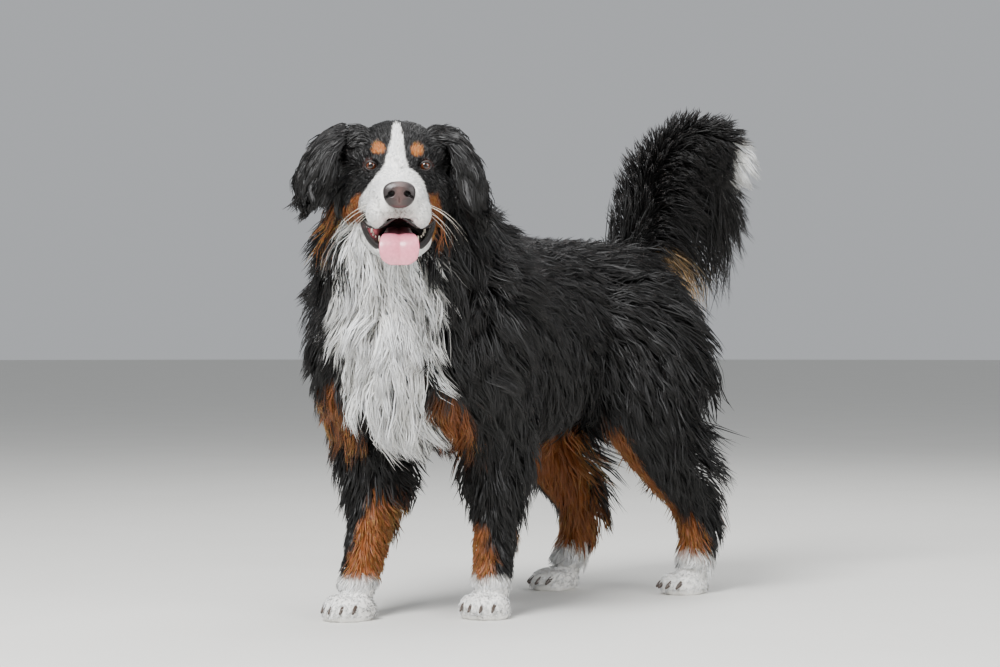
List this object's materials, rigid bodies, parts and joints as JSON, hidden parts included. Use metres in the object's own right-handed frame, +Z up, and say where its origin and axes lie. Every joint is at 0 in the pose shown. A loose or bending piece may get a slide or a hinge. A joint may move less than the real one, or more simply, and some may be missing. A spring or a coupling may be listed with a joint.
{
  "type": "standing bernese mountain dog, life size still model",
  "caption": "Life-size still model of a long-coated mountain dog, standing with its head turned, its mouth open and its plumed tail raised.",
  "frame": {"origin": "middle of the bounding box, on the floor under the paws", "axes": "+Z up; the body lies roughly along Y with the head towards -Y and the tail towards +Y; the dog's left side is towards +X"},
  "size_m": [0.4414, 1.12, 0.9339],
  "materials": {
    "coat_black": "long glossy black hair, set as solid locks",
    "coat_rust": "rust-brown hair",
    "coat_white": "white hair",
    "eye_glass": "polished, reddish brown",
    "nose_skin": "damp dark skin",
    "tongue_skin": "damp pink skin"
  },
  "bodies": {
    "root": {"bib": "coat_white", "ear_left": "coat_black", "ear_right": "coat_black", "eye_left": "eye_glass", "eye_right": "eye_glass", "fore_arm_left": "coat_black", "fore_arm_right": "coat_black", "fore_paw_left": "coat_white", "fore_paw_right": "coat_white", "fore_shin_left": "coat_rust", "fore_shin_right": "coat_rust", "hind_paw_left": "coat_white", "hind_paw_right": "coat_white", "hind_shin_left": "coat_rust", "hind_shin_right": "coat_rust", "jaw": "coat_white", "muzzle": "coat_white", "neck": "coat_black", "nose": "nose_skin", "skull": "coat_black", "tail": "coat_black", "thigh_left": "coat_black", "thigh_right": "coat_black", "tongue": "tongue_skin", "torso": "coat_black"}
  },
  "joints": []
}
